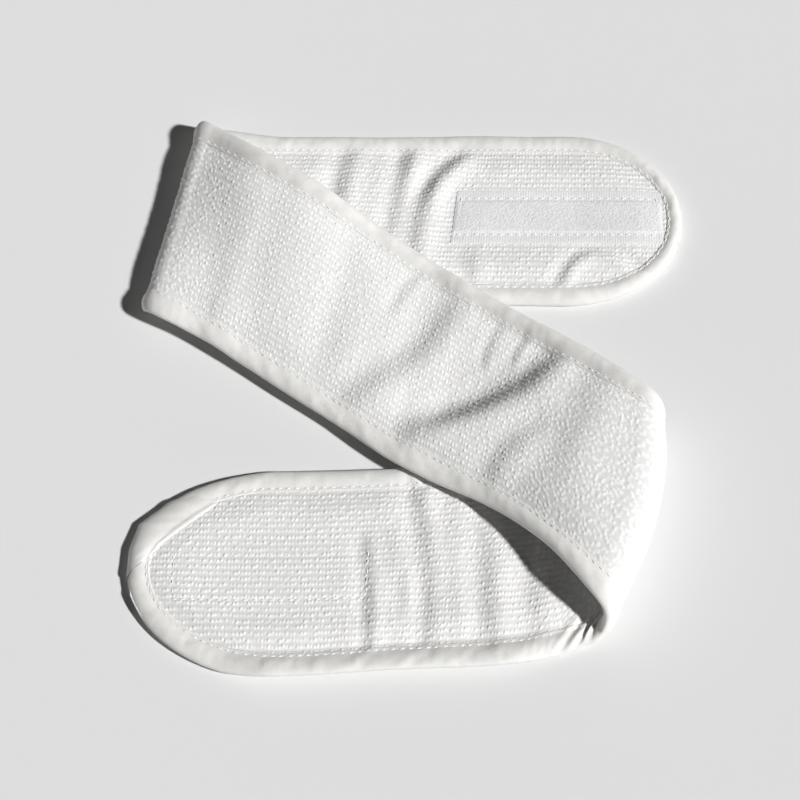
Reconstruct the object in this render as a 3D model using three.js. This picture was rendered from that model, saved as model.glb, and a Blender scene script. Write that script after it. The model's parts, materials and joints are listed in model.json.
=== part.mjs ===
// Spa headband: a long terry band with an edge binding and a hook-and-loop closure, laid down in
// two folds. The loop tape is on the upper arm, the hook tape under the lower arm, and the middle
// stretch lies across both arms. Millimetres, +Z up, origin at the centre of the base.
import * as THREE from "three";

// Driving dimensions, in millimetres and degrees.
const BAND_WIDTH = 80;
const TERRY_THICKNESS = 2.8;
const BINDING_WIDTH = 9; // how far the binding reaches in from the edge, on each face
const BINDING_THICKNESS = 1;
const GAP = 0.3; // between pieces that are sewn together
const THREAD_WIDTH = 0.6;
const THREAD_HEIGHT = 0.3;
const STITCH_INSET = 1.2; // from the binding's inner edge to its stitches

const UPPER_FOLD = { radius: 5.8, tilt: 16.3 }; // radius of the band's middle surface
const LOWER_FOLD = { radius: 10.3, tilt: 14.4 }; // tilt of the fold line, from +Y towards +X
const UPPER_ARM_LENGTH = 201; // from the tip to the upper fold
const MIDDLE_LENGTH = 211;
const MIDDLE_TURN = -6; // the middle stretch curves a little in its own plane
const MIDDLE_HEIGHTS = [ // of its near and far edges: it sags between the arms and over the floor
  { at: 25, near: 8.5, far: 18 },
  { at: 45, near: 6.5, far: 18.5 },
  { at: 85, near: 6.5, far: 12 },
  { at: 110, near: 8, far: 10.5 },
  { at: 125, near: 9.2, far: 12.5 },
];
const LOWER_ARM_BEND_LENGTH = 130;
const LOWER_ARM_STRAIGHT_LENGTH = 56;
const UPPER_TIP_LENGTH = 48; // of the half ellipse that rounds the end
const LOWER_TIP_LENGTH = 58;
const TIP_BLUNTNESS = 6; // degrees of the half ellipse left off, so that the tip has a short flat

const LOOP_TAPE = { length: 81, width: 25, fromTip: 12.5, aside: 0 };
const HOOK_TAPE = { length: 78, width: 25, fromTip: 16, aside: -3 };
const TAPE_BASE = 0.4; // the woven ground's thickness
const LOOP_PILE = 0.8; // how far the pile stands on the ground
const HOOK_PILE = 0.6;
const TAPE_SELVEDGE = 5; // the plain border that is sewn through
const PILE_SLOPE = 0.3; // how far the pile takes to reach its height
const STITCH_TO_SIDE = 4; // from the tape's long edges to its rows of stitches
const STITCH_TO_END = 2;

const LAP_START = 12; // where the binding's two ends overlap, measured back from the tip
const LAP_LENGTH = 28;

const FOLD_STATION = 2; // between stations of the mesh round a fold
const FLAT_STATION = 12;
const TIP_STATION = 9; // degrees
const PANEL_COLUMNS = 6;

const HALF_WIDTH = BAND_WIDTH / 2;
const HALF_THICKNESS = TERRY_THICKNESS / 2 + GAP + BINDING_THICKNESS;
const FOLD_AXIS_CLEARANCE = HALF_THICKNESS + 2 * GAP + THREAD_HEIGHT; // outside the fold's crest
const WHITE = 0xf0f0ee;
const IVORY = 0xebe9e0;
const TAPE_WHITE = 0xdfe0df;
const THREAD_WHITE = 0xf4f3ee;

const radians = THREE.MathUtils.degToRad;
const smooth = (x) => THREE.MathUtils.smoothstep(x, 0, 1);
const mix = THREE.MathUtils.lerp;
const direction = (degrees) => new THREE.Vector2(Math.cos(radians(degrees)), Math.sin(radians(degrees)));
const foldLine = (tilt) => direction(90 - tilt);
const level = (z) => ({ near: z, far: z }); // the heights of a stretch with both edges alike

// The heights at s of the near and the far edge: smooth lines through points, level at each of them.
function heightsThrough(points, s) {
  const next = Math.max(1, points.findIndex(({ at }) => s <= at));
  const [from, to] = [points[next - 1], points[next]];
  const share = smooth((s - from.at) / (to.at - from.at));
  return { near: mix(from.near, to.near, share), far: mix(from.far, to.far, share) };
}

// The band's middle line is a row of runs, each starting where the last one ended. A flat run is
// straight or a circular arc. A fold turns the band over about a line on the ground plan.
function flatRun(start, length, turn, endTilt, heights) {
  const place = (s) => {
    const heading = start.heading + (turn * s) / length;
    const chord = direction(start.heading + (turn * s) / length / 2);
    const bend = radians(turn * s) / length / 2;
    const reach = bend === 0 ? s : (s * Math.sin(bend)) / bend;
    return {
      point: start.point.clone().addScaledVector(chord, reach),
      z: heights ? heightsThrough(heights, s) : start.z,
      heading,
      tilt: mix(start.tilt, endTilt, smooth(s / length)),
      side: start.side,
    };
  };
  return { length, place };
}

// The level direction in which a fold bulges: square to its line, ahead of the band.
function foldOutward({ tilt, heading }) {
  const along = foldLine(tilt);
  const outward = new THREE.Vector2(along.y, -along.x);
  return outward.dot(direction(heading)) < 0 ? outward.negate() : outward;
}

function foldRun(start, radius, climb) {
  const along = foldLine(start.tilt);
  const heading = direction(start.heading);
  const outward = foldOutward(start);
  const slip = heading.dot(along) / heading.dot(outward);
  const length = (Math.PI * radius) / heading.dot(outward);
  const newHeading = 2 * (90 - start.tilt) - start.heading;
  const place = (s) => {
    const angle = (Math.PI * s) / length;
    const over = angle > Math.PI / 2;
    return {
      point: start.point
        .clone()
        .addScaledVector(along, slip * radius * angle)
        .addScaledVector(outward, radius * Math.sin(angle)),
      z: level(start.z.near + climb * radius * (1 - Math.cos(angle))),
      heading: over ? newHeading : start.heading,
      tilt: start.tilt,
      side: over ? -start.side : start.side,
    };
  };
  return { length, place };
}

const tip = { point: new THREE.Vector2(), z: level(HALF_THICKNESS), heading: 180, tilt: 0, side: -1 };
const foldTop = (fold) => level(HALF_THICKNESS + 2 * fold.radius);
const middleHeights = [
  { at: 0, ...foldTop(UPPER_FOLD) },
  ...MIDDLE_HEIGHTS,
  { at: MIDDLE_LENGTH, ...foldTop(LOWER_FOLD) },
];
const runs = [];
let end = tip;
function add(run) {
  runs.push(run);
  end = run.place(run.length);
}
add(flatRun(end, UPPER_ARM_LENGTH, 0, UPPER_FOLD.tilt));
add(foldRun(end, UPPER_FOLD.radius, 1));
add(flatRun(end, MIDDLE_LENGTH, MIDDLE_TURN, LOWER_FOLD.tilt, middleHeights));
add(foldRun(end, LOWER_FOLD.radius, -1));
add(flatRun(end, LOWER_ARM_BEND_LENGTH, tip.heading - end.heading, 0)); // to point as the tip does
add(flatRun(end, LOWER_ARM_STRAIGHT_LENGTH, 0, 0));
const runStart = (n) => runs.slice(0, n).reduce((sum, run) => sum + run.length, 0);
const BAND_LENGTH = runStart(runs.length);
const UPPER_SPLIT = runStart(1) + runs[1].length / 2; // the band is parted at the crest of each fold
const LOWER_SPLIT = runStart(3) + runs[3].length / 2;

function middleLine(s) {
  let n = 0;
  while (n < runs.length - 1 && s > runStart(n + 1)) n += 1;
  return runs[n].place(s - runStart(n));
}

// A point of the band's middle surface: s along it, t across it, towards +Y.
function surface(s, t) {
  const at = middleLine(s);
  const across = direction(at.heading + 90).multiplyScalar(at.side);
  const ruling = foldLine(at.tilt);
  ruling.divideScalar(ruling.dot(across));
  const z = mix(at.z.near, at.z.far, t / BAND_WIDTH + 0.5);
  return new THREE.Vector3(at.point.x + t * ruling.x, at.point.y + t * ruling.y, z);
}

// The same point lifted by h towards the face that carries the loop tape.
function onBand(s, t, h) {
  const step = 0.02;
  const before = Math.max(s - step, 0);
  const along = surface(before + step, t).sub(surface(before, t));
  const across = surface(s, t + step).sub(surface(s, t));
  const normal = across.cross(along).normalize();
  return surface(s, t).addScaledVector(normal, h);
}

// Moves every vertex of a closed geometry and turns its faces outwards again if that mirrored it.
function reshape(geometry, move) {
  const solid = geometry.index ? geometry.toNonIndexed() : geometry;
  const position = solid.getAttribute("position");
  const v = new THREE.Vector3();
  for (let i = 0; i < position.count; i += 1) {
    v.fromBufferAttribute(position, i);
    const moved = move(v.x, v.y, v.z);
    position.setXYZ(i, moved.x, moved.y, moved.z);
  }
  if (signedVolume(position) < 0) turnFacesRound(position);
  solid.computeVertexNormals();
  return solid;
}

function signedVolume(position) {
  const [a, b, c] = [new THREE.Vector3(), new THREE.Vector3(), new THREE.Vector3()];
  let volume = 0;
  for (let i = 0; i < position.count; i += 3) {
    a.fromBufferAttribute(position, i);
    b.fromBufferAttribute(position, i + 1);
    c.fromBufferAttribute(position, i + 2);
    volume += a.dot(b.cross(c)) / 6;
  }
  return volume;
}

function turnFacesRound(position) {
  const [b, c] = [new THREE.Vector3(), new THREE.Vector3()];
  for (let i = 0; i < position.count; i += 3) {
    b.fromBufferAttribute(position, i + 1);
    c.fromBufferAttribute(position, i + 2);
    position.setXYZ(i + 1, c.x, c.y, c.z);
    position.setXYZ(i + 2, b.x, b.y, b.z);
  }
}

function evenSteps(from, to, size) {
  const count = Math.max(1, Math.round(Math.abs(to - from) / size));
  return Array.from({ length: count + 1 }, (_, i) => mix(from, to, i / count));
}

// Stations along a stretch of band: close together in a fold, wider apart on the flat.
function stations(from, to) {
  const breaks = [from, ...runs.map((_, n) => runStart(n)).filter((s) => s > from && s < to), to];
  const inFold = (s) => [1, 3].some((n) => s > runStart(n) && s < runStart(n + 1));
  return breaks.slice(1).flatMap((end, i) => {
    const size = inFold((breaks[i] + end) / 2) ? FOLD_STATION : FLAT_STATION;
    return evenSteps(breaks[i], end, size).slice(i === 0 ? 0 : 1);
  });
}

// One round end of the band: its tip's s, which way the band runs from it, and its ellipse.
const UPPER_END = { s: 0, inward: 1, length: UPPER_TIP_LENGTH };
const LOWER_END = { s: BAND_LENGTH, inward: -1, length: LOWER_TIP_LENGTH };
const tipAngles = evenSteps(TIP_BLUNTNESS, 90, TIP_STATION);
const tipStation = (end, angle) => end.s + end.inward * end.length * (1 - Math.cos(radians(angle)));

// Terry panel of one body, inside its binding. rows are {s, half}: a station and the half width there.
function terryPanel(rows) {
  const box = new THREE.BoxGeometry(1, 1, 1, rows.length - 1, PANEL_COLUMNS, 1);
  return reshape(box, (x, y, z) => {
    const row = rows[Math.round((x + 0.5) * (rows.length - 1))];
    return onBand(row.s, 2 * y * row.half, z * TERRY_THICKNESS);
  });
}

function armRows(end, split) {
  const inset = BINDING_THICKNESS + GAP;
  const middle = end.s + end.inward * end.length;
  const round = tipAngles.map((angle) => ({
    s: mix(tipStation(end, angle), middle, inset / end.length),
    half: (HALF_WIDTH - inset) * Math.sin(radians(angle)),
  }));
  const straight = stations(Math.min(middle, split), Math.max(middle, split));
  if (end.inward < 0) straight.reverse();
  return [...round, ...straight.slice(1).map((s) => ({ s, half: HALF_WIDTH - inset }))];
}

// Edge paths: points of the band's outline, each with the way inwards.
const sideEdge = (edge, list) => list.map((s) => ({ s, t: edge * HALF_WIDTH, inS: 0, inT: -edge }));

function tipEdge(end) {
  const angles = evenSteps(90, -90, TIP_STATION);
  return angles.map((angle) => {
    const [c, k] = [Math.cos(radians(angle)), Math.sin(radians(angle))];
    const inward = new THREE.Vector2((end.inward * c) / end.length, -k / HALF_WIDTH).normalize();
    return { s: tipStation(end, angle), t: HALF_WIDTH * k, inS: inward.x, inT: inward.y };
  });
}

function armEdge(end, split) {
  const middle = end.s + end.inward * end.length;
  const straight = stations(Math.min(middle, split), Math.max(middle, split));
  if (end.inward > 0) straight.reverse();
  const back = [...straight].reverse();
  return [
    ...sideEdge(1, straight.slice(0, -1)),
    ...tipEdge(end),
    ...sideEdge(-1, back.slice(1)),
  ];
}

// A section, drawn as inward distance and height, carried along an edge path.
function alongEdge(section, path) {
  const steps = path.length - 1;
  const bar = new THREE.ExtrudeGeometry(section, { depth: 1, steps, bevelEnabled: false });
  return reshape(bar, (inward, height, along) => {
    const at = path[Math.round(along * steps)];
    return onBand(at.s + at.inS * inward, at.t + at.inT * inward, height);
  });
}

function bindingSection() {
  const lip = HALF_THICKNESS - BINDING_THICKNESS;
  const points = [
    [BINDING_WIDTH, lip],
    [BINDING_WIDTH, HALF_THICKNESS],
    [BINDING_THICKNESS, HALF_THICKNESS],
    [0, HALF_THICKNESS - BINDING_THICKNESS],
    [0, BINDING_THICKNESS - HALF_THICKNESS],
    [BINDING_THICKNESS, -HALF_THICKNESS],
    [BINDING_WIDTH, -HALF_THICKNESS],
    [BINDING_WIDTH, -lip],
    [BINDING_THICKNESS, -lip],
    [BINDING_THICKNESS, lip],
  ];
  return new THREE.Shape(points.map(([x, y]) => new THREE.Vector2(x, y)));
}

function rectangle(x0, y0, x1, y1) {
  return new THREE.Shape([
    new THREE.Vector2(x0, y0),
    new THREE.Vector2(x1, y0),
    new THREE.Vector2(x1, y1),
    new THREE.Vector2(x0, y1),
  ]);
}

// The binding's row of stitches. face is 1 on the loop tape's face of the band and -1 on the other.
function bindingStitches(path, face) {
  const inward = BINDING_WIDTH - STITCH_INSET;
  const low = face * (HALF_THICKNESS + GAP);
  const high = low + face * THREAD_HEIGHT;
  return alongEdge(rectangle(inward - THREAD_WIDTH, low, inward, high), path);
}

// The binding's free end, lapped over its start.
function bindingLap() {
  const path = armEdge(LOWER_END, LOWER_SPLIT).filter(({ s, t }) => {
    const back = BAND_LENGTH - s;
    return t > 0 && back > LAP_START && back < LAP_START + LAP_LENGTH;
  });
  const width = BINDING_WIDTH - STITCH_INSET - THREAD_WIDTH - GAP;
  const low = HALF_THICKNESS + GAP;
  return alongEdge(rectangle(BINDING_THICKNESS, low, width, low + BINDING_THICKNESS), path);
}

// Hook or loop tape: a thin woven ground with a raised field of pile inside its selvedge.
function tape({ length, width }, pile) {
  const lines = (size) => {
    const [edge, field] = [size / 2, size / 2 - TAPE_SELVEDGE];
    return [-edge, -field - PILE_SLOPE, -field, field, field + PILE_SLOPE, edge];
  };
  const [xs, ys] = [lines(length), lines(width)];
  const last = xs.length - 1;
  const raised = (i) => i === 2 || i === 3;
  const box = new THREE.BoxGeometry(1, 1, 1, last, last, 1);
  return reshape(box, (x, y, z) => {
    const [i, j] = [Math.round((x + 0.5) * last), Math.round((y + 0.5) * last)];
    const top = raised(i) && raised(j) ? TAPE_BASE + pile : TAPE_BASE;
    return new THREE.Vector3(xs[i], ys[j], z > 0 ? top : 0);
  });
}

// The tape's stitches: one thread round it, just inside its edge.
function tapeStitches({ length, width }) {
  const [x, y] = [length / 2 - STITCH_TO_END, width / 2 - STITCH_TO_SIDE];
  const outline = rectangle(-x, -y, x, y);
  const [ix, iy] = [x - THREAD_WIDTH, y - THREAD_WIDTH];
  outline.holes.push(rectangle(-ix, -iy, ix, iy));
  return new THREE.ExtrudeGeometry(outline, { depth: THREAD_HEIGHT, bevelEnabled: false });
}

const group = new THREE.Group();

function piece(parent, name, geometry, color, roughness) {
  const material = new THREE.MeshStandardMaterial({ color, roughness, metalness: 0 });
  const mesh = new THREE.Mesh(geometry, material);
  mesh.name = name;
  parent.add(mesh);
}
const terry = (name, rows) => piece(group, name, terryPanel(rows), WHITE, 0.95);
const binding = (name, path) => piece(group, name, alongEdge(bindingSection(), path), IVORY, 0.85);
const stitches = (name, path, face) => {
  piece(group, name, bindingStitches(path, face), THREAD_WHITE, 0.7);
};

// Tape and its stitches on an arm's outer or under side, in a group set on the terry's face.
function sewnTape(kind, size, pile, end, face) {
  const holder = new THREE.Group();
  const s = end.s + end.inward * (size.fromTip + size.length / 2);
  holder.position.copy(surface(s, size.aside));
  holder.position.z += face * (TERRY_THICKNESS / 2 + GAP);
  holder.rotation.x = face > 0 ? 0 : Math.PI;
  piece(holder, `${kind}_tape`, tape(size, pile), TAPE_WHITE, 0.8);
  const thread = tapeStitches(size).translate(0, 0, TAPE_BASE + GAP);
  piece(holder, `${kind}_tape_stitches`, thread, THREAD_WHITE, 0.7);
  group.add(holder);
}

const halfGap = GAP / 2;
const upperPath = armEdge(UPPER_END, UPPER_SPLIT - halfGap);
const lowerPath = armEdge(LOWER_END, LOWER_SPLIT + halfGap);
const middleStations = stations(UPPER_SPLIT + halfGap, LOWER_SPLIT - halfGap);
const middleHalf = HALF_WIDTH - BINDING_THICKNESS - GAP;

terry("terry_upper_arm", armRows(UPPER_END, UPPER_SPLIT - halfGap));
terry("terry_middle", middleStations.map((s) => ({ s, half: middleHalf })));
terry("terry_lower_arm", armRows(LOWER_END, LOWER_SPLIT + halfGap));
binding("binding_upper_arm", upperPath);
binding("binding_middle_far", sideEdge(1, middleStations));
binding("binding_middle_near", sideEdge(-1, middleStations));
binding("binding_lower_arm", lowerPath);
piece(group, "binding_lap", bindingLap(), IVORY, 0.85);
stitches("binding_stitches_upper_arm", upperPath, 1);
stitches("binding_stitches_middle_far", sideEdge(1, middleStations), -1);
stitches("binding_stitches_middle_near", sideEdge(-1, middleStations), -1);
stitches("binding_stitches_lower_arm", lowerPath, 1);
sewnTape("loop", LOOP_TAPE, LOOP_PILE, UPPER_END, 1);
sewnTape("hook", HOOK_TAPE, HOOK_PILE, LOWER_END, -1);

// The origin goes to the centre of the base.
const part = new THREE.Group();
part.add(group);
part.updateMatrixWorld(true);
const extent = new THREE.Box3().setFromObject(part);
const centre = extent.getCenter(new THREE.Vector3());
group.position.set(-centre.x, -centre.y, -extent.min.z);

// Where each fold turns: a line just outside its crest. A joint in the record repeats it.
function foldAxis(run, { radius, tilt }) {
  const start = runs[run].place(0);
  const along = foldLine(tilt);
  const reach = radius + FOLD_AXIS_CLEARANCE;
  const crest = start.point.clone().addScaledVector(foldOutward(start), reach);
  const z = (start.z.near + runs[run].place(runs[run].length).z.near) / 2;
  const point = new THREE.Vector3(crest.x, crest.y, z).add(group.position);
  return { point: point.toArray(), axis: [along.x, along.y, 0] };
}
part.userData.joints = {
  upper_fold: foldAxis(1, UPPER_FOLD),
  lower_fold: foldAxis(3, LOWER_FOLD),
};

export default part;
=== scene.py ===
"""Looks for the spa headband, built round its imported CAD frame. Metres, +Z up.

The cloth follows the same path as the CAD part. A point of the band is (s, t, h): s along it from the
upper arm's tip, t across it, and h off its middle surface, towards the face that carries the loop tape.
"""

import json
import math
from collections import namedtuple

import bpy
import numpy as np
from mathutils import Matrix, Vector


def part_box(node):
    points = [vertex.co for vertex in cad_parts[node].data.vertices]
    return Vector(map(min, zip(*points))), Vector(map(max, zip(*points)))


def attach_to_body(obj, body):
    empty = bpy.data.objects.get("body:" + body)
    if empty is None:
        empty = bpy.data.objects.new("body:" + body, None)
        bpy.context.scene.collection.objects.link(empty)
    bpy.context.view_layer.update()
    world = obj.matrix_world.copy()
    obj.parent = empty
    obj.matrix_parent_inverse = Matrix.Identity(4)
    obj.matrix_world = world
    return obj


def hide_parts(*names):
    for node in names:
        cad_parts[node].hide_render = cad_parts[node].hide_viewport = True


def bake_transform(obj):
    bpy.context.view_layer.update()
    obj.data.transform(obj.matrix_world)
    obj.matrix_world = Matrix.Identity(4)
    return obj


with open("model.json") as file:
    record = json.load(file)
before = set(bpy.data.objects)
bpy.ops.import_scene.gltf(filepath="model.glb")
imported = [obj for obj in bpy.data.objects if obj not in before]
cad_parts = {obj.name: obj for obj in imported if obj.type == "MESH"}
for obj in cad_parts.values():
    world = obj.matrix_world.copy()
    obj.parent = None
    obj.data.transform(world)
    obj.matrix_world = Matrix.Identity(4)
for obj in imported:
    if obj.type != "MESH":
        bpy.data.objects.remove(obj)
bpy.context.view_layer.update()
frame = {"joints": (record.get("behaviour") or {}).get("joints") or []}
joints = {joint["name"]: joint for joint in frame["joints"]}

MM = 0.001

# The band's driving dimensions, as the CAD part has them.
BAND_WIDTH = 80 * MM
BAND_THICKNESS = 5.4 * MM
HALF_THICKNESS = BAND_THICKNESS / 2
UPPER_FOLD_RADIUS = 5.8 * MM
LOWER_FOLD_RADIUS = 10.3 * MM
UPPER_ARM_LENGTH = 201 * MM
MIDDLE_LENGTH = 211 * MM
MIDDLE_TURN = -6
# Where along the middle stretch, and the heights there of its near and its far edge, mm.
MIDDLE_HEIGHTS = [(25, 8.5, 18), (45, 6.5, 18.5), (85, 6.5, 12), (110, 8, 10.5), (125, 9.2, 12.5)]
LOWER_ARM_BEND_LENGTH = 130 * MM
LOWER_ARM_STRAIGHT_LENGTH = 56 * MM
UPPER_TIP_LENGTH = 48 * MM
LOWER_TIP_LENGTH = 58 * MM
HALF_WIDTH = BAND_WIDTH / 2

# How the whole cloth stands off that path.
LIFT = 1.7 * MM  # how far it puffs up between its bindings
PUFF_START = 5 * MM  # how far in from the edge the puffing starts
PUFF_RUN = 14 * MM
UNEVENNESS = 0.35 * MM
UNEVEN_PATCH = 14 * MM
TAPE_FLATTENS = 10 * MM  # how far round a tape the cloth is held flatter
CREASE_START = 2 * MM  # how far in from the edge the creases start
CREASE_RUN = 10 * MM
PINCH = -0.8 * MM  # how far the middle stretch is pressed down at the upper fold
PINCH_RUN = 12 * MM
NEAR_SWELL = 0.64 * MM  # how far its near and its far side stand up beyond
SWELL = 3.2 * MM
SWELL_RISE = 64 * MM
SWELL_LENGTH = 60 * MM
SWELL_FADE = 50 * MM
SHOULDER = 1.6 * MM  # how far the lower fold bulges above its crest
SHOULDER_PLACE = 0.31  # where, as a share of the fold's length
SHOULDER_WIDTH = 6.5 * MM
RIM_CURL = 4.0 * MM  # how far the lower arm's near rim turns up
RIM_WIDTH = 10 * MM
RIM_FADE = 30 * MM

# The cloth.
TERRY_HALF = 1.5 * MM  # half the ground cloth's thickness, under its loops
ROW_PITCH = 2.3 * MM
LOOP_PITCH = 1.35 * MM
LOOP_HEIGHT = 0.31 * MM
TERRY_STEP = 0.4 * MM
TERRY_COLUMNS = 196
TERRY_EDGE = 1.6 * MM  # how far inside the binding's fold the terry ends
TERRY_FADE = 1.6 * MM  # over which its loops rise, just inside the binding's inner edge
TERRY_SUNK = 0.3 * MM  # how much thinner it is under the binding
STRETCH_FLATTENS = 0.4  # the share of their height that the loosest loops lose
HOOK_SEAM_DENT = 0.15 * MM
TAPE_GAP = 0.4 * MM  # the bare cloth round a tape
REST_HEIGHT = 0.1 * MM  # no cloth lies lower than this
BINDING_REACH = 9 * MM
BINDING_CLOTH = 0.55 * MM
EDGE_STEP = 1.0 * MM
LAP_STEP = 0.8 * MM
TIP_REACH = 0.72  # the binding's share of its reach at the upper arm's tip
STITCH_INSET = 1.3 * MM
STITCH_PITCH = 3.4 * MM
STITCH_LENGTH = 2.1 * MM
THREAD_RADIUS = 0.24 * MM
TAPE_STEP = 0.35 * MM
LOOP_TAPE_CREEP = 4 * MM  # how far the loop tape has crept towards the tip
TAPE_SELVEDGE = 5 * MM
TAPE_GROUND = 0.35 * MM
TAPE_FIELD = 0.3 * MM  # how far the pile stands on the woven ground
TAPE_BURIED = 0.1 * MM  # how far its back sits in the terry
TAPE_SEAM_DENT = 0.12 * MM
FLUFF_ROW_PITCH = 0.9 * MM
FLUFF_PITCH = 1.0 * MM
FLUFF_HEIGHT = 0.12 * MM
RIB_PITCH = 1.05 * MM
RIB_HEIGHT = 0.13 * MM
LAP_RAISE = 0.8 * MM  # the lapped end lies on the binding under it

# How far a fold's piece reaches into the flat, on its arm and on the middle stretch.
ARM_MARGIN = 14 * MM
MIDDLE_MARGIN = 8 * MM

Place = namedtuple("Place", "point near far heading tilt side")  # near and far: the edges' heights


def unit(v):
    return v / np.maximum(np.linalg.norm(v, axis=-1, keepdims=True), 1e-12)


def direction(degrees):
    angle = np.radians(degrees)
    return np.stack([np.cos(angle), np.sin(angle)], axis=-1)


def smooth(x):
    x = np.clip(x, 0, 1)
    return x * x * (3 - 2 * x)


def mix(a, b, share):
    return a + (b - a) * share


# ---- The band's path ------------------------------------------------------------------------------


def fold_tilt(joint):
    """The angle between a fold line and +Y, in degrees."""
    x, y, _ = joints[joint]["axis"]
    return math.degrees(math.atan2(x, y) if y > 0 else math.atan2(-x, -y))


def through(points, s):
    """The value at s of a smooth line through points (at, value), level at each of them."""
    value = np.full(s.shape, float(points[0][1]))
    for (at, low), (next_at, high) in zip(points[:-1], points[1:]):
        value = value + (high - low) * smooth((s - at) / (next_at - at))
    return value


def flat_run(start, length, turn, end_tilt, heights=None):
    """A stretch that lies flat, straight or as an arc in plan. heights are points (at, near, far)."""
    heights = heights or [(0, start.near, start.far)]

    def place(s):
        half_turn = np.radians(turn * s / length) / 2
        chord = direction(start.heading + turn * s / length / 2)
        reach = s * np.sinc(half_turn / np.pi)
        return Place(
            start.point + chord * reach[..., None],
            through([(at, near) for at, near, _ in heights], s),
            through([(at, far) for at, _, far in heights], s),
            start.heading + turn * s / length,
            mix(start.tilt, end_tilt, smooth(s / length)),
            np.full(s.shape, start.side),
        )

    return length, place


def fold_run(start, radius, climb):
    """A fold, which turns the band over about a line on the ground plan."""
    along = direction(90 - start.tilt)
    heading = direction(start.heading)
    outward = np.array([along[1], -along[0]])
    if outward @ heading < 0:
        outward = -outward
    slip = (heading @ along) / (heading @ outward)
    length = np.pi * radius / (heading @ outward)
    new_heading = 2 * (90 - start.tilt) - start.heading

    def place(s):
        angle = np.pi * s / length
        over = angle > np.pi / 2
        shift = along * (slip * radius * angle)[..., None]
        swing = outward * (radius * np.sin(angle))[..., None]
        height = start.near + climb * radius * (1 - np.cos(angle))
        return Place(
            start.point + shift + swing,
            height,
            height,
            np.where(over, new_heading, start.heading),
            np.full(s.shape, start.tilt),
            np.where(over, -start.side, start.side),
        )

    return length, place


def lay_out_band():
    """The band's runs, each as (length, place), from the upper arm's tip to the lower arm's."""
    tape_low, tape_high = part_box("loop_tape")
    tip = np.array([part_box("binding_upper_arm")[1].x, (tape_low.y + tape_high.y) / 2])
    rest = BAND_THICKNESS / 2
    end = Place(tip, rest, rest, 180.0, 0.0, -1.0)
    found = []

    def add(run):
        found.append(run)
        length, place = run
        last = place(np.array([length]))
        return Place(*(field[0] for field in last))

    upper_top, lower_top = rest + 2 * UPPER_FOLD_RADIUS, rest + 2 * LOWER_FOLD_RADIUS
    heights = [(0, upper_top, upper_top)]
    heights += [(at * MM, near * MM, far * MM) for at, near, far in MIDDLE_HEIGHTS]
    heights += [(MIDDLE_LENGTH, lower_top, lower_top)]
    end = add(flat_run(end, UPPER_ARM_LENGTH, 0, fold_tilt("upper_fold")))
    end = add(fold_run(end, UPPER_FOLD_RADIUS, 1))
    end = add(flat_run(end, MIDDLE_LENGTH, MIDDLE_TURN, fold_tilt("lower_fold"), heights))
    end = add(fold_run(end, LOWER_FOLD_RADIUS, -1))
    end = add(flat_run(end, LOWER_ARM_BEND_LENGTH, 180 - end.heading, 0))
    end = add(flat_run(end, LOWER_ARM_STRAIGHT_LENGTH, 0, 0))
    return found, tip, end.point


runs, UPPER_TIP, LOWER_TIP = lay_out_band()
run_starts = np.concatenate([[0], np.cumsum([length for length, _ in runs])])
BAND_LENGTH = run_starts[-1]
UPPER_FOLD = (run_starts[1], run_starts[2])
LOWER_FOLD = (run_starts[3], run_starts[4])


def middle_line(s):
    which = np.clip(np.searchsorted(run_starts, s, side="right") - 1, 0, len(runs) - 1)
    fields = Place(np.empty(s.shape + (2,)), *(np.empty(s.shape) for _ in range(5)))
    for n, (_, place) in enumerate(runs):
        here = which == n
        if here.any():
            for field, value in zip(fields, place(s[here] - run_starts[n])):
                field[here] = value
    return fields


SETTLE_CLEARANCE = 8 * MM  # cloth this far above the floor is free to settle up and down
# How the cloth has spread and turned from its even path: along the band round which place and how
# far, mm, and the moves there of its near edge, its middle and its far edge, mm.
SETTLED = [
    (212, 40, (1.5, -3.5, -2.5), (0, 0.5, -3.5), (-1.5, 4.5, 0)),
    (385, 55, (2, 4.5, 0), (0.5, 1, 0), (0, 0, 0)),
    (451, 50, (-6, 0, -1.5), (3, 2.5, -2), (-5, 3, 1.5)),
    (500, 60, (3, -4, 0), (0, -0.7, 0), (0, 0, 0)),
    (600, 120, (0, -5.5, 0), (0, -2, 0), (0, 0, 0)),
]


def settled(s, t, height):
    """How far (s, t) has moved from the even path. What lies on the floor stays at its height."""
    across = (t / HALF_WIDTH)[..., None]
    moved = 0
    for at, reach, near, middle, far in SETTLED:
        near, middle, far = (np.array(move) * MM for move in (near, middle, far))
        share = 1 - smooth(np.abs(s - at * MM) / (reach * MM))
        bow = middle + across * (far - near) / 2 + across**2 * ((far + near) / 2 - middle)
        moved = moved + bow * share[..., None]
    moved[..., 2] *= smooth((height - HALF_THICKNESS) / SETTLE_CLEARANCE)
    return moved


def surface(s, t):
    """The middle surface's point at (s, t)."""
    at = middle_line(s)
    across = direction(at.heading + 90) * at.side[..., None]
    ruling = direction(90 - at.tilt)
    ruling = ruling / (ruling * across).sum(axis=-1, keepdims=True)
    plan = at.point + ruling * t[..., None]
    height = mix(at.near, at.far, t / BAND_WIDTH + 0.5)
    return np.concatenate([plan, height[..., None]], axis=-1) + settled(s, t, height)


def on_band(s, t, h):
    """The point at height h over (s, t), in the frame. Cloth on the arms lies flat where it rests."""
    s, t, h = np.broadcast_arrays(np.asarray(s, float), t, h)
    step = 0.1 * MM
    along = surface(s + step, t) - surface(s - step, t)
    across = surface(s, t + step) - surface(s, t - step)
    points = surface(s, t) + unit(np.cross(across, along)) * h[..., None]
    points[..., 2] = np.maximum(points[..., 2], REST_HEIGHT)
    return points


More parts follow.
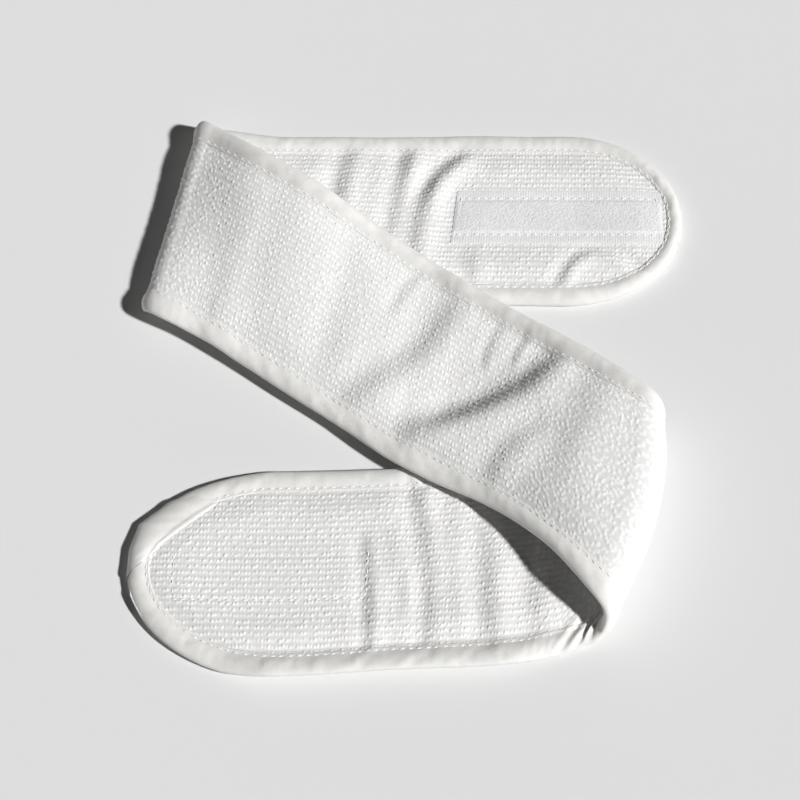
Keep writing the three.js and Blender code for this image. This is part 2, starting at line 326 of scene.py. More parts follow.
def edge_distance(s, t):
    """How far (s, t) is inside the band's outline, near enough."""
    upper = (UPPER_TIP_LENGTH - s) / UPPER_TIP_LENGTH
    lower = (s - BAND_LENGTH + LOWER_TIP_LENGTH) / LOWER_TIP_LENGTH
    beyond = np.clip(np.maximum(upper, lower), 0, None)
    length = np.where(upper > lower, UPPER_TIP_LENGTH, LOWER_TIP_LENGTH)
    level = np.hypot(beyond, t / HALF_WIDTH)
    slope = np.hypot(beyond / length, t / HALF_WIDTH**2) / np.maximum(level, 1e-9)
    return (1 - level) / np.maximum(slope, 1 / length)


def reach_share(s):
    """The binding is narrower round the upper arm's tip, to clear the tape."""
    return mix(TIP_REACH, 1, smooth(s / UPPER_TIP_LENGTH))


# ---- Folds, creases and loops in the cloth --------------------------------------------------------


NOISE_CELLS = 256


def noise(x, y, seed, size):
    """Smooth noise from -1 to 1, with a feature about every size metres."""
    table = np.random.default_rng(seed).uniform(-1, 1, (NOISE_CELLS, NOISE_CELLS))
    u, v = x / size + NOISE_CELLS / 2, y / size + NOISE_CELLS / 2
    i, j = np.floor(u).astype(int), np.floor(v).astype(int)
    a, b = smooth(u - i), smooth(v - j)

    def corner(di, dj):
        return table[(i + di) % NOISE_CELLS, (j + dj) % NOISE_CELLS]

    near = mix(corner(0, 0), corner(1, 0), a)
    far = mix(corner(0, 1), corner(1, 1), a)
    return mix(near, far, b)


# Creases: the three points (s, t) that bend each line, its half width, all in mm, and its slope. The
# cloth steps up across a crease, towards the right of the way along it.
CREASES = [
    # the upper arm: across it beside the tape, and a pucker at the tape's corner
    ((144, 36), (143, 10), (143, -20), 4.0, 0.34),
    ((118, 36), (117, 10), (118, -20), 3.5, 0.30),
    ((91, 31), (118, 13), (104, -31), 3.6, 0.46),
    ((18, -26), (41, -4), (50, -31), 2.2, 0.48),
    ((86, -14), (85, -22), (83, -31), 3.0, 0.18),
    # the middle stretch: slanting creases that fan out towards the lower fold's far side
    ((300, -28), (298, 0), (296, 30), 6.0, 0.13),
    ((306, -31), (336, -1), (345, 32), 4.5, 0.30),
    ((334, -29), (379, 4), (393, 33), 4.0, 0.44),
    ((338, -25), (380, 4), (394, 31), 9.0, 0.30),
    ((375, -31), (379, -14), (394, 2), 3.8, 0.30),
    ((317, 10), (319, 20), (324, 32), 2.2, 0.28),
    ((361, 12), (362, 20), (365, 32), 2.0, 0.28),
    ((373, 18), (374, 25), (377, 34), 1.6, 0.34),
    ((400, -8), (405, 12), (413, 34), 7.0, 0.22),
    # the lower arm: across it between the hook tape and the fold
    ((562, 12), (559, -8), (558, -35), 2.6, 0.32),
    ((545, 31), (536, 2), (534, -34), 3.2, 0.36),
    ((547, -3), (546, -10), (545, -17), 2.4, 0.30),
    ((532, 30), (529, 0), (526, -34), 4.0, 0.14),
    ((519, 22), (515, -5), (508, -38), 3.8, 0.26),
    ((496, 0), (494, -14), (489, -36), 3.6, 0.16),
    ((639, -12), (623, -22), (607, -33), 3.0, 0.14),
]
PLEATS = [  # the same, for what the binding itself gathers into
    ((453, -40), (453, -35), (450, -29), 1.2, 0.7),
    ((461, -40), (460, -35), (456, -28), 1.4, 0.8),
    ((470, -40), (468, -35), (463, -28), 1.5, 0.8),
    ((479, -40), (476, -35), (471, -29), 1.6, 0.6),
    ((548, 40), (547, 36), (545, 31), 1.3, 0.36),
    ((542, 40), (540, 36), (540, 31), 1.3, 0.35),
    ((566, -40), (560, -36), (555, -31), 1.6, 0.18),
    ((545, -40), (539, -36), (533, -31), 1.6, 0.2),
    ((526, -40), (519, -36), (511, -31), 1.6, 0.2),
]


CREASE_STEP = 0.6  # the dimples' spacing, in half widths
CREASE_REACH = 4.5  # how far a dimple is worked out, in half widths
CREASE_SLOPE = 1.21  # the slope of the step that two rows of unit bumps a width apart make
CREASE_UNEVEN = 0.45  # how much a crease's depth varies
CREASE_PATCH = 13 * MM  # and over what length


def crease_height(s, t, crease):
    """A step in the cloth along a soft line: a row of round dimples with a row of bumps beside it."""
    first, bend, last, width, slope = crease
    first, bend, last = (np.array(p) * MM for p in (first, bend, last))
    width = width * MM
    height = slope * width / CREASE_SLOPE
    reach = np.linalg.norm(bend - first) + np.linalg.norm(last - bend)
    count = max(4, int(reach / (CREASE_STEP * width)))
    found = np.zeros(s.shape)
    near = CREASE_REACH * width
    previous = first
    for share in np.linspace(0, 1, count + 1)[1:]:
        at = mix(mix(first, bend, share), mix(bend, last, share), share)
        stride = at - previous
        previous = at
        length = np.linalg.norm(stride)
        right = np.array([stride[1], -stride[0]]) / length * width
        window = (np.abs(s - at[0]) < near) & (np.abs(t - at[1]) < near)
        depth = length * (1 + CREASE_UNEVEN * float(noise(at[0], at[1], 61, CREASE_PATCH)))
        for side in (-1, 1):
            ds, dt = s[window] - at[0] - side * right[0], t[window] - at[1] - side * right[1]
            dome = np.exp(-(ds**2 + dt**2) / (2 * width**2))
            found[window] += side * dome * depth / (width * math.sqrt(2 * math.pi))
    return found * height


def facing_up(s):
    """1 where the loop tape's face is up, -1 where it is down, and 0 at the crest of a fold."""
    upper = smooth((s - UPPER_FOLD[0]) / (UPPER_FOLD[1] - UPPER_FOLD[0]))
    lower = smooth((s - LOWER_FOLD[0]) / (LOWER_FOLD[1] - LOWER_FOLD[0]))
    return 1 - 2 * upper + 2 * lower


def tape_span(node):
    """The ranges of s and t that a tape or its seam covers."""
    low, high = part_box(node)
    if node.startswith("loop"):
        along = UPPER_TIP[0] - high.x - LOOP_TAPE_CREEP, UPPER_TIP[0] - low.x
        return along, (low.y - UPPER_TIP[1], high.y - UPPER_TIP[1])
    start = BAND_LENGTH + LOWER_TIP[0]
    return (start - high.x, start - low.x), (low.y - LOWER_TIP[1], high.y - LOWER_TIP[1])


TAPES = {"loop_tape": 1, "hook_tape": -1}  # and the face that each is sewn to


def over_tape(name, s, t, soft):
    """1 over a tape, fading to 0 within soft outside it."""
    (low, high), (near, far) = tape_span(name)
    out = np.maximum(np.maximum(low - s, s - high), np.maximum(near - t, t - far))
    return 1 - smooth(out / soft)


SEAM_WIDTH = 1.1 * MM


def seam_dent(name, s, t):
    """1 along a tape's seam and 0 a few widths away from it."""
    (low, high), (near, far) = tape_span(name + "_stitches")
    beyond_end = np.abs(s - (low + high) / 2) - (high - low) / 2
    beyond_side = np.abs(t - (near + far) / 2) - (far - near) / 2
    return np.exp(-((np.maximum(beyond_end, beyond_side) / SEAM_WIDTH) ** 2))


def fold_shape(s, t):
    """How the middle stretch stands off its path beside the upper fold: pinched in, then puffed up."""
    away = s - UPPER_FOLD[1]
    risen = np.clip(smooth(away / SWELL_RISE + 0.5) * 2 - 1, 0, 1)
    swell = mix(NEAR_SWELL, SWELL, smooth(t / (0.75 * BAND_WIDTH) + 0.6))
    begun = smooth(away / PINCH_RUN + 1)
    ended = smooth((away - SWELL_LENGTH) / SWELL_FADE)
    return mix(PINCH, swell, risen) * begun * (1 - ended)


def curled_rim(s, t):
    """How far the lower arm's near rim has curled up."""
    begun = smooth((s - LOWER_FOLD[1] - RIM_WIDTH) / RIM_FADE)
    ended = smooth((BAND_LENGTH - RIM_FADE - s) / RIM_FADE)
    return RIM_CURL * begun * ended * np.clip((RIM_WIDTH - HALF_WIDTH - t) / RIM_WIDTH, 0, 1)


def squared_off(s, t):
    """How far the lower fold bulges out above its crest, where the cloth turns down sharply."""
    top = mix(LOWER_FOLD[0], LOWER_FOLD[1], SHOULDER_PLACE)
    return SHOULDER * np.exp(-(((s - top) / SHOULDER_WIDTH) ** 2)) * (1 - (t / HALF_WIDTH) ** 2 / 2)


def relief(s, t):
    """How far the whole cloth stands off the middle surface at (s, t), towards h."""
    inside = smooth((edge_distance(s, t) - PUFF_START) / PUFF_RUN)
    taped = np.maximum(
        over_tape("loop_tape", s, t, TAPE_FLATTENS),
        over_tape("hook_tape", s, t, TAPE_FLATTENS),
    )
    rise = LIFT * inside * (1 - 0.35 * taped)
    rise = rise + UNEVENNESS * inside * (1 - 0.7 * taped) * noise(s, t, 11, UNEVEN_PATCH)
    creased = sum(crease_height(s, t, crease) for crease in CREASES)
    rise = rise + creased * smooth((edge_distance(s, t) - CREASE_START) / CREASE_RUN)
    rise = rise + sum(crease_height(s, t, pleat) for pleat in PLEATS)
    return (rise + fold_shape(s, t)) * facing_up(s) - squared_off(s, t) + curled_rim(s, t)


LOOP_HALF_LENGTH = 0.53  # of a loop's dome, in loop pitches
LOOP_HALF_WIDTH = (0.35, 0.4)  # of a neat and of a loose loop's dome, in row pitches
LOOP_VARIES = 0.6  # how much the loops' heights differ


def pile(s, t, seed, loose, row_pitch=ROW_PITCH, loop_pitch=LOOP_PITCH):
    """Height from 0 to about 1 of rows of yarn loops, less regular where loose is near 1."""
    rows, loops = int(BAND_WIDTH / row_pitch) + 6, int(BAND_LENGTH / loop_pitch) + 8
    shift_s, shift_t, lean, size = np.random.default_rng(seed).uniform(-1, 1, (4, rows, loops))
    row, loop = t / row_pitch + rows / 2, s / loop_pitch + 4
    half_width = mix(*LOOP_HALF_WIDTH, loose)
    found = np.zeros(s.shape)
    for di in (-1, 0, 1):
        i = np.clip(np.floor(row).astype(int) + di, 0, rows - 1)
        for dj in (-1, 0, 1):
            j = np.clip(np.floor(loop).astype(int) + dj, 0, loops - 1)
            ds = loop - (j + 0.5 + (0.06 + 0.5 * loose) * shift_s[i, j])
            dt = row - (i + 0.5 + (0.05 + 0.45 * loose) * shift_t[i, j])
            angle = (0.12 + 1.3 * loose) * lean[i, j]
            along = (ds * loop_pitch * np.cos(angle) + dt * row_pitch * np.sin(angle)) / loop_pitch
            across = (dt * row_pitch * np.cos(angle) - ds * loop_pitch * np.sin(angle)) / row_pitch
            dome = 1 - (along / LOOP_HALF_LENGTH) ** 2 - (across / half_width) ** 2
            found = np.maximum(found, np.clip(dome, 0, None) * (1 + LOOP_VARIES * size[i, j]))
    return found


def looseness(s, t):
    """How loose and uneven the loops are: most round the lower fold, where the cloth is stretched."""
    before = 1 - smooth((LOWER_FOLD[0] - s - 10 * MM) / (50 * MM))
    after = 1 - smooth((s - LOWER_FOLD[1]) / (26 * MM))
    away = np.maximum(UPPER_FOLD[0] - s, s - UPPER_FOLD[1])
    folds = np.maximum(np.minimum(before, after), 0.45 * (1 - smooth(away / (30 * MM))))
    patches = 0.5 + 0.5 * noise(s, t, 23, 12 * MM)
    return np.clip(folds + 0.22 * patches, 0, 1)


# ---- Meshes ---------------------------------------------------------------------------------------


def new_object(name, points, quads, material, normals=None, height_for_shade=None):
    """An object of four-sided faces. Its per-vertex height for shade is read by its material, which paints
    shade where that height is low.
    """
    mesh = bpy.data.meshes.new(name)
    mesh.vertices.add(len(points))
    mesh.vertices.foreach_set("co", np.asarray(points, np.float32).ravel())
    mesh.loops.add(quads.size)
    mesh.loops.foreach_set("vertex_index", quads.astype(np.int32).ravel())
    mesh.polygons.add(len(quads))
    mesh.polygons.foreach_set("loop_start", np.arange(0, quads.size, 4, dtype=np.int32))
    mesh.update(calc_edges=True)
    mesh.shade_smooth()
    if normals is not None:
        mesh.normals_split_custom_set_from_vertices(normals.tolist())
    # a height of 1 everywhere means no painted shade
    height_for_shade = np.ones(len(points)) if height_for_shade is None else height_for_shade
    mesh.attributes.new("height_for_shade", "FLOAT", "POINT").data.foreach_set("value", height_for_shade.astype(np.float32).ravel())
    mesh.materials.append(material)
    obj = bpy.data.objects.new(name, mesh)
    bpy.context.scene.collection.objects.link(obj)
    return obj


def grid_quads(index):
    """The quads of a grid of vertex numbers."""
    quads = np.stack([index[:-1, :-1], index[1:, :-1], index[1:, 1:], index[:-1, 1:]], axis=-1)
    return quads.reshape(-1, 4)


def grid_normals(points):
    return unit(np.cross(np.gradient(points, axis=0), np.gradient(points, axis=1)))


def slab(name, outer, inner, material, heights_for_shade=None):
    """A closed sheet between two grids of points. The first and last rows only shape the normals, so
    that two sheets that meet are shaded as one."""
    rows, columns = outer.shape[0] - 2, outer.shape[1]
    normals = [grid_normals(outer)[1:-1], -grid_normals(inner)[1:-1]]
    outer, inner = outer[1:-1], inner[1:-1]
    index = np.arange(rows * columns).reshape(rows, columns)
    under = index + rows * columns
    rim = [(index[:, 0], under[:, 0]), (under[:, -1], index[:, -1])]
    rim += [(under[0], index[0]), (index[-1], under[-1])]
    quads = [grid_quads(index), grid_quads(under)[:, ::-1]]
    quads += [grid_quads(np.stack(pair, axis=0)) for pair in rim]
    quads = np.concatenate(quads)
    points = np.concatenate([outer.reshape(-1, 3), inner.reshape(-1, 3)])
    if ((outer - inner) * normals[0]).sum() < 0:
        quads = quads[:, ::-1]
        normals = [-n for n in normals]
    normals = np.concatenate([n.reshape(-1, 3) for n in normals])
    # the heights by which the material paints shade between loops, without the first and last rows
    if heights_for_shade is not None:
        heights_for_shade = np.concatenate([height_for_shade[1:-1].ravel() for height_for_shade in heights_for_shade])
    return new_object(name, points, quads, material, normals, heights_for_shade)


def steps(start, stop, size):
    """Even steps from start to stop, with one more at each end."""
    count = max(2, round(abs(stop - start) / size))
    size = (stop - start) / count
    return start + size * np.arange(-1, count + 2)


def terry(name, start, stop, material):
    """A stretch of the terry panel, with its loops on both faces."""
    s = steps(start, stop, TERRY_STEP)[:, None]
    beyond = np.maximum(
        (UPPER_TIP_LENGTH - s) / UPPER_TIP_LENGTH,
        (s - BAND_LENGTH + LOWER_TIP_LENGTH) / LOWER_TIP_LENGTH,
    )
    half = (HALF_WIDTH - TERRY_EDGE) * np.sqrt(1 - np.clip(beyond, 0, 0.9999) ** 2)
    t = half * np.linspace(-1, 1, TERRY_COLUMNS)
    s = np.broadcast_to(s, t.shape)
    lie = relief(s, t)
    shown = smooth((edge_distance(s, t) - BINDING_REACH * reach_share(s)) / TERRY_FADE + 1)
    loose = looseness(s, t)
    height = LOOP_HEIGHT * (1 - STRETCH_FLATTENS * smooth(loose / 0.8))
    dent = HOOK_SEAM_DENT * seam_dent("hook_tape", s, t)
    faces, heights_for_shade = [], []
    for tape_name, side in TAPES.items():
        bare = 1 - over_tape(tape_name, s, t, TAPE_GAP)
        loops = pile(s, t, 31 + side, loose)
        # the loops' heights also set the painted shade between them
        heights_for_shade.append(loops)
        raised = height * shown * bare * loops - TERRY_SUNK * (1 - shown) - dent * bare
        faces.append(on_band(s, t, lie + side * (TERRY_HALF + raised)))
    return slab(name, faces[0], faces[1], material, heights_for_shade)


# ---- The binding ----------------------------------------------------------------------------------

# The binding's outer face: distance in from the edge and height, mm, from its inner edge to its fold.
BINDING_PROFILE = np.array(
    [
        (9.0, 1.2),
        (9.1, 1.5),
        (8.85, 1.8),
        (8.4, 2.0),
        (8.0, 1.97),
        (7.7, 1.95),
        (7.3, 2.06),
        (6.6, 2.35),
        (5.6, 2.66),
        (4.5, 2.74),
        (3.4, 2.62),
        (2.4, 2.3),
        (1.5, 1.85),
        (0.75, 1.25),
        (0.2, 0.5),
    ]
)


def side_edge(start, stop, edge):
    """Even points along one side edge, from s = start to stop: s, t and the way in."""
    s = steps(start, stop, EDGE_STEP)
    zero = np.zeros(s.shape)
    return s, zero + edge * HALF_WIDTH, zero, zero - edge


def round_tip(at, inward, length, back):
    """The edge round one end of the band, from s = back on the +t side to s = back on the other."""
    angle = np.radians(np.linspace(90, -90, 721))
    s = at + inward * length * (1 - np.cos(angle))
    t = HALF_WIDTH * np.sin(angle)
    side = abs(back - (at + inward * length))
    straight = np.arange(0, side + 2 * MM, 0.5 * MM)[1:]
    lead = at + inward * (length + straight)
    s = np.concatenate([lead[::-1], s, lead])
    t = np.concatenate([np.full(lead.shape, HALF_WIDTH), t, np.full(lead.shape, -HALF_WIDTH)])
    walked = walk(s, t)
    spare = straight[-1] - side
    even = steps(spare, walked[-1] - spare, EDGE_STEP)
    s, t = np.interp(even, walked, s), np.interp(even, walked, t)
    ds, dt = np.gradient(s), np.gradient(t)
    way = unit(np.stack([dt, -ds], axis=-1)) * (-inward) * reach_share(s)[:, None]
    return s, t, way[:, 0], way[:, 1]


def walk(s, t):
    """Distance along a path in (s, t)."""
    return np.concatenate([[0], np.cumsum(np.hypot(np.diff(s), np.diff(t)))])


BINDING_WAVE = 0.45 * MM  # how far its outer edge wanders
BINDING_WAVE_LENGTH = 22 * MM
PUCKER = 0.2 * MM
PUCKER_LENGTH = 5 * MM
FINE_PUCKER = 0.08 * MM
FINE_PUCKER_LENGTH = 2.1 * MM


def binding(name, path, material, seed, raised=0.0):
    """The strip folded over the edge along a path: a rolled rim, with a dent under its stitches. The
    path's way in is a unit long where the strip has its whole reach. raised is the extra height."""
    s, t, in_s, in_t = (field[:, None] for field in path)
    profile = np.concatenate([BINDING_PROFILE, BINDING_PROFILE[::-1] * (1, -1)]) * MM
    tangent = np.gradient(profile, axis=0)
    inner = profile + unit(np.stack([tangent[:, 1], -tangent[:, 0]], axis=-1)) * -BINDING_CLOTH
    inner[:, 0] = np.minimum(inner[:, 0], BINDING_REACH)
    station = (walk(s[:, 0], t[:, 0]) + abs(s[0, 0]))[:, None]
    around = np.cumsum(np.linalg.norm(np.gradient(profile, axis=0), axis=-1))[None, :]
    around = around + 0 * station
    grow = PUCKER * noise(station + 0.6 * around, around, seed + 1, PUCKER_LENGTH)
    grow = grow + FINE_PUCKER * noise(station, 0.3 * around, seed + 2, FINE_PUCKER_LENGTH)
    wave = BINDING_WAVE * noise(s, t, seed, BINDING_WAVE_LENGTH)
    faces = []
    for points in (profile, inner):
        x, y = points[:, 0][None, :], points[:, 1][None, :]
        belly = np.sin(np.pi * np.clip(x / BINDING_REACH, 0, 1))
        height = y * (1 + raised / HALF_THICKNESS) + np.sign(y) * grow * (0.4 + belly)
        inward = x + wave * (1 - smooth(x / BINDING_REACH))
        ps, pt = s + in_s * inward, t + in_t * inward
        faces.append(on_band(ps, pt, relief(ps, pt) + height))
    return slab(name, faces[0], faces[1], material)


# The binding's free end, folded over its start: its outer edge and its inner edge, mm from the tip.
LAP_OUTER = [(0.3, -3.5), (0, 8), (-3, 18.5), (-15, 28.2), (-38, 36.6)]
LAP_INNER = [(-9, 5), (-13, 10), (-20, 15.5), (-28, 21.5), (-38, 29.5)]


def lap_path():
    outer, inner = (np.array(line) * MM + (BAND_LENGTH, 0) for line in (LAP_OUTER, LAP_INNER))
    walked = walk(*outer.T)
    even = steps(0, walked[-1], LAP_STEP)
    s, t = (np.interp(even, walked, outer[:, k]) for k in (0, 1))
    way = np.stack([np.interp(even, walked, inner[:, k] - outer[:, k]) for k in (0, 1)])
    return s, t, way[0] / BINDING_REACH, way[1] / BINDING_REACH


# ---- Hook and loop tape ---------------------------------------------------------------------------


def tape(name, face, material):
    """A woven ground with ribs across its selvedges, and a field of pile between them."""
    (low, high), (near, far) = tape_span(name)
    s = steps(low, high, TAPE_STEP)[:, None]
    t = np.linspace(near, far, round((far - near) / TAPE_STEP) + 1)[None, :]
    s, t = np.broadcast_arrays(s, t)
    to_side = np.minimum(t - near, far - t)
    to_end = np.minimum(s - low, high - s)
    field = smooth((to_side - TAPE_SELVEDGE) / (0.8 * MM)) * smooth(to_end / (1.5 * MM))
    fluff = pile(s, t, 71 + face, 1.0, FLUFF_ROW_PITCH, FLUFF_PITCH)
    ribs = 0.5 + 0.5 * np.sin(2 * np.pi * s / RIB_PITCH)
    thinned = 0.5 * np.exp(-to_side / (0.4 * MM)) + 0.4 * np.exp(-np.maximum(to_end, 0) / (0.5 * MM))
    top = TAPE_GROUND * (1 - thinned) + RIB_HEIGHT * ribs * (1 - field)
    top = top + field * (TAPE_FIELD + FLUFF_HEIGHT * fluff) - TAPE_SEAM_DENT * seam_dent(name, s, t)
    lie = relief(s, t)
    outer = on_band(s, t, lie + face * (TERRY_HALF + top))
    inner = on_band(s, t, lie + face * (TERRY_HALF - TAPE_BURIED))
    # the ribs' and the pile's heights set the painted shade between them
    heights_for_shade = [mix(ribs, fluff, field), ribs]
    return slab(name + "_cloth", outer, inner, material, heights_for_shade)


def seam_path(name):
    """Once round a tape's seam."""
    (low, high), (near, far) = tape_span(name + "_stitches")
    corners = np.array([(low, near), (high, near), (high, far), (low, far), (low, near)])
    walked = walk(*corners.T)
    even = np.linspace(0, walked[-1], 600)
    return np.interp(even, walked, corners[:, 0]), np.interp(even, walked, corners[:, 1])


# ---- Threads --------------------------------------------------------------------------------------


THREAD_SIDES = 6  # its round is closed by two four-sided faces at each end
STITCH_POINTS = 9
STITCH_ARCH = 1.5  # how high a stitch arches and how far its ends dip, in thread radii
STITCH_DIP = 0.9


def thread_mesh(name, lines, ups, material):
    """Closed six-sided tubes along lines, an array of (threads, points, 3), tapered at both ends."""
    threads, count, _ = lines.shape
    along = unit(np.gradient(lines, axis=1))
    side = unit(np.cross(along, ups))
    up = np.cross(side, along)
    share = np.linspace(0, 1, count)
    thickness = THREAD_RADIUS * np.sqrt(np.clip(1 - np.abs(2 * share - 1) ** 6, 0.02, 1))
    angle = 2 * np.pi * np.arange(THREAD_SIDES) / THREAD_SIDES
    ring = side[:, :, None] * np.cos(angle)[:, None] + up[:, :, None] * np.sin(angle)[:, None]
    points = lines[:, :, None] + ring * thickness[:, None, None]
    first = np.arange(threads)[:, None, None] * count * THREAD_SIDES
    index = first + np.arange(count)[:, None] * THREAD_SIDES + np.arange(THREAD_SIDES)
    wrapped = np.concatenate([index, index[:, :, :1]], axis=2)
    quads = np.stack(
        [wrapped[:, :-1, :-1], wrapped[:, 1:, :-1], wrapped[:, 1:, 1:], wrapped[:, :-1, 1:]], axis=-1
    ).reshape(-1, 4)
    caps = []
    for ends, order in ((index[:, 0], (0, 1, 2, 3)), (index[:, -1], (3, 2, 1, 0))):
        opposite = [(k + THREAD_SIDES // 2) % THREAD_SIDES for k in order]
        caps += [ends[:, order], ends[:, opposite]]
    quads = np.concatenate([quads, *caps])
    return new_object(name, points.reshape(-1, 3), quads[:, ::-1], material)


def stitches(name, s, t, height, face, material, seed):
    """A row of stitches along a path in (s, t), each a short arch of thread that dips in at its ends."""
    walked = walk(s, t)
    rng = np.random.default_rng(seed)
    starts = np.arange(0.3 * STITCH_PITCH, walked[-1] - STITCH_LENGTH, STITCH_PITCH)
    starts = starts + rng.uniform(-0.08, 0.08, starts.shape) * STITCH_PITCH
    share = np.linspace(0, 1, STITCH_POINTS)
    at = starts[:, None] + share * STITCH_LENGTH * rng.uniform(0.85, 1.1, starts.shape)[:, None]
    ss, tt = np.interp(at, walked, s), np.interp(at, walked, t)
    h = height + THREAD_RADIUS * (STITCH_ARCH * np.sin(np.pi * share) - STITCH_DIP)
    lines = on_band(ss, tt, relief(ss, tt) + face * h)
    lines[..., 2] = np.maximum(lines[..., 2], REST_HEIGHT + THREAD_RADIUS)
    above = on_band(ss, tt, relief(ss, tt) + face * (h + MM))
    return thread_mesh(name, lines, unit(above - lines), material)


# ---- Materials ------------------------------------------------------------------------------------


def new_material(name, colour, roughness, sheen, mottle, grain, bump, painted_shade=0.0):
    """Cloth: a colour mottled at two sizes, sheen, and a fine bump. grain is its size in metres, and the
    last argument is how much painted shade darkens it between its loops, where the mesh's per-vertex height
    for shade is 0."""
    material = bpy.data.materials.new(name)
    material.use_nodes = True
    nodes, links = material.node_tree.nodes, material.node_tree.links
    shader = nodes["Principled BSDF"]
    shader.inputs["Roughness"].default_value = roughness
    shader.inputs["Sheen Weight"].default_value = sheen
    shader.inputs["Sheen Roughness"].default_value = 0.6
    shader.inputs["Specular IOR Level"].default_value = 0.2
    place = nodes.new("ShaderNodeTexCoord")

    def texture(size, detail):
        node = nodes.new("ShaderNodeTexNoise")
        node.inputs["Scale"].default_value = 1 / size
        node.inputs["Detail"].default_value = detail
        links.new(place.outputs["Object"], node.inputs["Vector"])
        return node.outputs["Fac"]

    def ramp(factor, low, high, dark, light):
        node = nodes.new("ShaderNodeValToRGB")
        for element, position, tint in zip(node.color_ramp.elements, (low, high), (dark, light)):
            element.position = position
            element.color = (*tint, 1)
        links.new(factor, node.inputs["Fac"])
        return node.outputs["Color"]

    def multiply(a, b):
        node = nodes.new("ShaderNodeMixRGB")
        node.blend_type = "MULTIPLY"
        node.inputs["Fac"].default_value = 1
        links.new(a, node.inputs["Color1"])
        links.new(b, node.inputs["Color2"])
        return node.outputs["Color"]

    dark = [c * (1 - mottle) for c in colour]
    height_for_shade = nodes.new("ShaderNodeAttribute")
    height_for_shade.attribute_name = "height_for_shade"
    patches = ramp(texture(30 * MM, 2), 0.3, 0.7, dark, colour)
    flecks = ramp(texture(2.5 * MM, 3), 0.3, 0.7, [1 - mottle] * 3, (1, 1, 1))
    # painted shade: the cloth is darkened between its loops and ribs, where the mesh's height for shade is
    # low
    painted_gap_shade = ramp(height_for_shade.outputs["Fac"], 0.0, 0.5, [1 - painted_shade] * 3, (1, 1, 1))
    links.new(multiply(multiply(patches, flecks), painted_gap_shade), shader.inputs["Base Color"])
    bump_node = nodes.new("ShaderNodeBump")
    bump_node.inputs["Strength"].default_value = bump
    bump_node.inputs["Distance"].default_value = grain / 2
    links.new(texture(grain, 4), bump_node.inputs["Height"])
    links.new(bump_node.outputs["Normal"], shader.inputs["Normal"])
    return material


# The terry's and the tapes' last number is how much painted shade darkens the cloth between its loops and
# ribs.
terry_material = new_material("terry_cloth", (0.85, 0.845, 0.835), 1.0, 0.1, 0.04, 0.35 * MM, 0.5, 0.12)
binding_material = new_material("binding_knit", (0.79, 0.783, 0.757), 0.9, 0.1, 0.06, 0.5 * MM, 0.6)
thread_material = new_material("sewing_thread", (0.86, 0.86, 0.84), 0.6, 0.1, 0.04, 0.12 * MM, 0.3)
loop_material = new_material("loop_tape_cloth", (0.87, 0.87, 0.87), 0.8, 0.3, 0.09, 0.5 * MM, 0.9, 0.08)
hook_material = new_material("hook_tape_nylon", (0.80, 0.80, 0.79), 0.5, 0.0, 0.04, 0.3 * MM, 0.2, 0.1)


# ---- The pieces -----------------------------------------------------------------------------------

PANEL_END = 2 * MM  # how far inside each tip the panel ends
SECTIONS = {
    "upper_arm": (PANEL_END, UPPER_FOLD[0] - ARM_MARGIN),
    "upper_fold": (UPPER_FOLD[0] - ARM_MARGIN, UPPER_FOLD[1] + MIDDLE_MARGIN),
    "middle": (UPPER_FOLD[1] + MIDDLE_MARGIN, LOWER_FOLD[0] - MIDDLE_MARGIN),
    "lower_fold": (LOWER_FOLD[0] - MIDDLE_MARGIN, LOWER_FOLD[1] + ARM_MARGIN),
    "lower_arm": (LOWER_FOLD[1] + ARM_MARGIN, BAND_LENGTH - PANEL_END),
}
FOLDS = {"upper_fold": ("upper_arm", "middle"), "lower_fold": ("lower_arm", "middle")}
SECTION_ORDER = ("upper_arm", "lower_arm", "upper_fold", "middle", "lower_fold")
STITCH_HEIGHT = 1.95 * MM
LAP_SINK = 1.2 * MM
LAP_FADE = 0.4  # over what share of its length the lap sinks
BACK_STITCH_SUNK = 0.1 * MM


def attach(obj, section, slot, *nodes):
    """Rides on its body, or, across a fold, is left fixed where it is built, on no body."""
    if section in FOLDS:
        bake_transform(obj)
    else:
        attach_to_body(obj, section)
    if nodes:
        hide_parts(*nodes)
    return obj


def build_terry():
    for section, (start, stop) in SECTIONS.items():
        cloth = terry(f"terry_cloth_{section}", start, stop, terry_material)
        attach(cloth, section, "terry", *([] if section in FOLDS else [f"terry_{section}"]))


def edge_paths(section):
    """The outer edges of a section, by the ending of its pieces' names."""
    start, stop = SECTIONS[section]
    if section == "upper_arm":
        return {"": round_tip(0, 1, UPPER_TIP_LENGTH, stop)}
    if section == "lower_arm":
        return {"": round_tip(BAND_LENGTH, -1, LOWER_TIP_LENGTH, start)}
    return {"_far": side_edge(start, stop, 1), "_near": side_edge(start, stop, -1)}


def build_edging(section, suffix, path):
    """A stretch of binding, and the stitches through it on both faces."""
    s, t, in_s, in_t = (field[1:-1] for field in path)
    strip = binding(f"edging_{section}{suffix}", path, binding_material, 41)
    attach(strip, section, "binding", *([] if section in FOLDS else [f"binding_{section}{suffix}"]))
    inward = BINDING_REACH - STITCH_INSET
    line = s + in_s * inward, t + in_t * inward
    for face, side in ((1, "x"), (-1, "y")):
        name = f"edge_stitches_{section}{suffix}_{side}"
        row = stitches(name, *line, STITCH_HEIGHT, face, thread_material, 57)
        seen = (face > 0) == (section != "middle")
        known = [f"binding_stitches_{section}{suffix}"] if section not in FOLDS and seen else []
        attach(row, section, "thread", *known)


def build_lap():
    """The binding's lapped end, which sinks into the strip under it at its far end."""
    path = lap_path()
    share = np.linspace(0, 1, len(path[0]))[:, None]
    raised = mix(-LAP_SINK, LAP_RAISE, smooth((1 - share) / LAP_FADE))
    lap = binding("edging_lap", path, binding_material, 47, raised)
    attach(lap, "lower_arm", "binding", "binding_lap")


